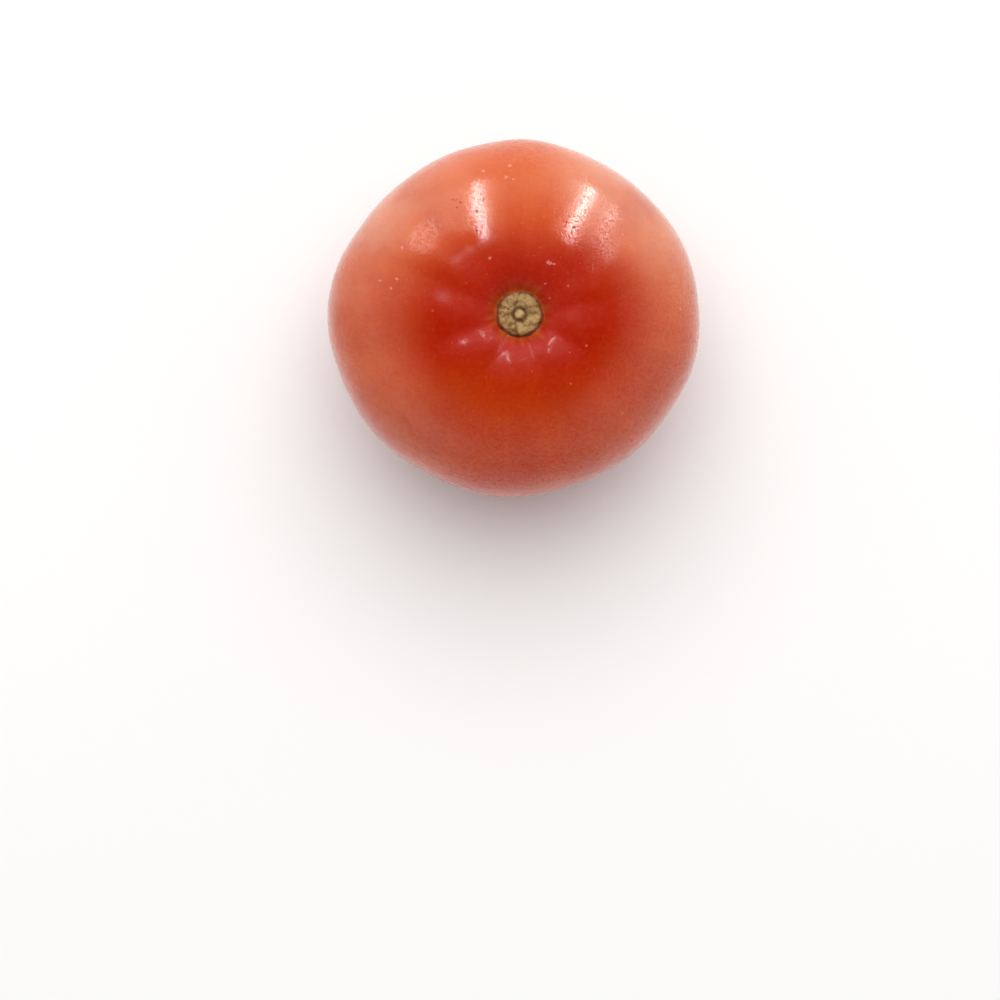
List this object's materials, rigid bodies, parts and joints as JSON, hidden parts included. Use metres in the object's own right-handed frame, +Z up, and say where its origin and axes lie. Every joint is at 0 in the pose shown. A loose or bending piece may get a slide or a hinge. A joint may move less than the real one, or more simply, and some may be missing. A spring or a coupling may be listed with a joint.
{
  "type": "beefsteak tomato",
  "caption": "Ripe beefsteak tomato, wide and flattened, with gentle lobes round a stem hollow, resting on its blossom end.",
  "frame": {"origin": "middle of the fruit's outline, at the level of the flat spot that it rests on", "axes": "+Z up, along the core from the blossom end towards the stem scar; +X across the widest part of the fruit"},
  "size_m": [0.092, 0.0882, 0.067],
  "materials": {
    "skin": "smooth waxy tomato skin, semi-gloss"
  },
  "bodies": {
    "root": {"tomato": "skin"}
  },
  "joints": []
}
